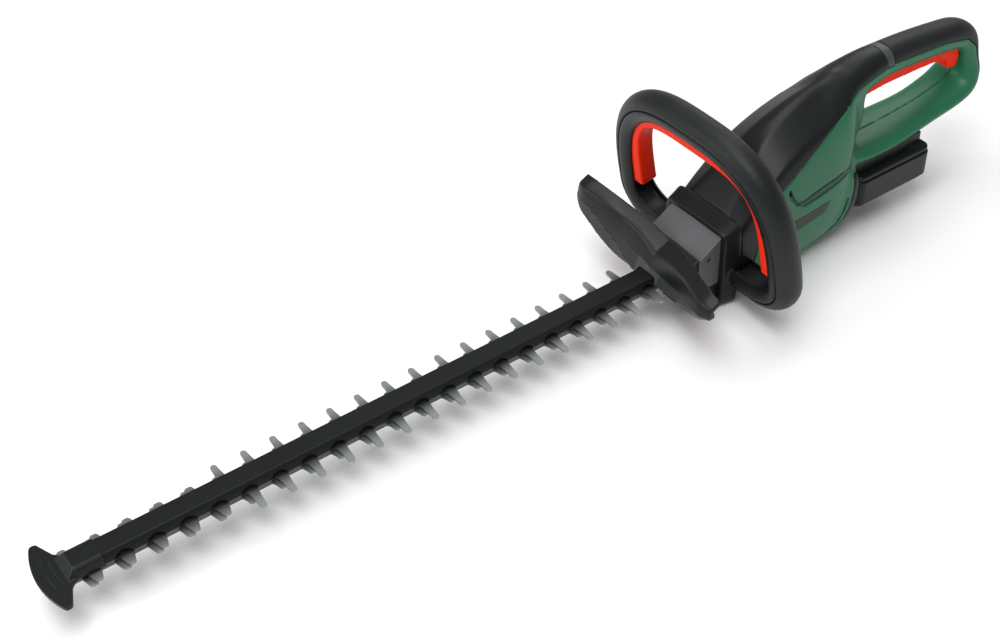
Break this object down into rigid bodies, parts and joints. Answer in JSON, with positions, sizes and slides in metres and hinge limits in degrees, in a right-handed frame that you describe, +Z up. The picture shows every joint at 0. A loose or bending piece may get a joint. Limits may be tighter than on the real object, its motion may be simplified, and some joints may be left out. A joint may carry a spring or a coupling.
{
  "type": "hedge trimmer",
  "caption": "Cordless hedge trimmer with a long double-action blade, front loop handle with a switch bow, rear D-handle with a trigger, hand guard and slide-on battery pack.",
  "frame": {"origin": "on the flat sole, under the axis of the blade crank", "axes": "+X to the blade tip, +Y to the left of the person who holds it, +Z up"},
  "size_m": [0.9593, 0.227, 0.1877],
  "materials": {
    "green_shell": "satin moulded plastic",
    "black_shell": "satin moulded plastic",
    "grey_shell": "satin moulded plastic",
    "soft_grip": "soft matt",
    "ring_grey": "satin",
    "red_plastic": "gloss",
    "label_black": "gloss",
    "case_alloy": "painted die casting",
    "steel": "ground",
    "dark_steel": "oiled",
    "laminations": "enamelled",
    "bronze": "plain",
    "contact_gold": "plated",
    "board_green": "coated",
    "cell_blue": "shrink film",
    "felt": "greased felt",
    "white_nylon": "moulded nylon"
  },
  "bodies": {
    "trimmer": {"housing_left": "green_shell", "housing_right": "green_shell", "top_cover": "black_shell", "sole_cover": "black_shell", "rear_grip": "soft_grip", "grip_ring": "ring_grey", "loop_frame": "black_shell", "loop_grip": "soft_grip", "bow_springs": "steel", "front_switch": "label_black", "hand_guard": "black_shell", "gear_case": "grey_shell", "gear_case_cover": "black_shell", "crank_bearings": "steel", "drive_grease_seal": "felt", "motor_can": "case_alloy", "motor_stator": "laminations", "motor_bearings": "steel", "controller": "board_green", "trigger_pin": "steel", "trigger_spring": "steel", "rear_switch": "label_black", "battery_dock": "black_shell", "dock_contacts": "contact_gold", "support_bar": "steel", "blade_rail": "black_shell", "guide_strip": "dark_steel", "blade_bolts": "dark_steel", "blade_bushes": "bronze", "tip_guard": "black_shell", "housing_screws": "dark_steel", "case_screws": "dark_steel", "side_inserts": "label_black"},
    "crank": {"crank_gear": "steel"},
    "rotor": {"motor_rotor": "dark_steel", "motor_pinion": "steel", "cooling_fan": "white_nylon"},
    "top_blade": {"upper_blade": "steel"},
    "bottom_blade": {"lower_blade": "steel"},
    "trigger": {"rear_trigger": "red_plastic"},
    "bow": {"switch_bow": "red_plastic"},
    "battery_pack": {"pack_lower_shell": "black_shell", "pack_upper_shell": "black_shell", "pack_cells": "cell_blue", "button_spring": "steel"},
    "pack_button": {"release_button": "red_plastic"}
  },
  "joints": [
    {"name": "crank_spin", "type": "hinge", "parent": "trimmer", "child": "crank", "pos_m": [0, 0, 0.05], "axis": [0, 0, 1], "continuous": true},
    {"name": "motor_spin", "type": "hinge", "parent": "trimmer", "child": "rotor", "pos_m": [-0.035, 0, 0.07], "axis": [0, 0, 1], "continuous": true},
    {"name": "upper_blade_slide", "type": "slide", "parent": "trimmer", "child": "top_blade", "axis": [1, 0, 0], "range_m": [-0.0045, 0.0085]},
    {"name": "lower_blade_slide", "type": "slide", "parent": "trimmer", "child": "bottom_blade", "axis": [1, 0, 0], "range_m": [-0.0085, 0.0045]},
    {"name": "rear_trigger_hinge", "type": "hinge", "parent": "trimmer", "child": "trigger", "pos_m": [-0.176, 0, 0.143], "axis": [0, 1, 0], "range_deg": [0, 3.5], "stiffness_Nm_per_rad": 2.2, "springref_deg": -3.44, "deforming": ["trigger_spring"]},
    {"name": "switch_bow_slide", "type": "slide", "parent": "trimmer", "child": "bow", "axis": [0.1771, 0, 0.9842], "range_m": [0, 0.0035], "stiffness_N_per_m": 2400, "springref_m": -0.0025, "deforming": ["bow_springs"]},
    {"name": "battery_pack_slide", "type": "slide", "parent": "trimmer", "child": "battery_pack", "axis": [-1, 0, 0], "range_m": [0, 0.09]},
    {"name": "release_button_press", "type": "slide", "parent": "battery_pack", "child": "pack_button", "axis": [0, 0, -1], "range_m": [0, 0.0025], "stiffness_N_per_m": 900, "springref_m": -0.0015, "deforming": ["button_spring"]}
  ],
  "couplings": [
    {"joint": "motor_spin", "follows": "crank_spin", "ratio": -6},
    {"joint": "lower_blade_slide", "follows": "upper_blade_slide", "ratio": -1}
  ]
}
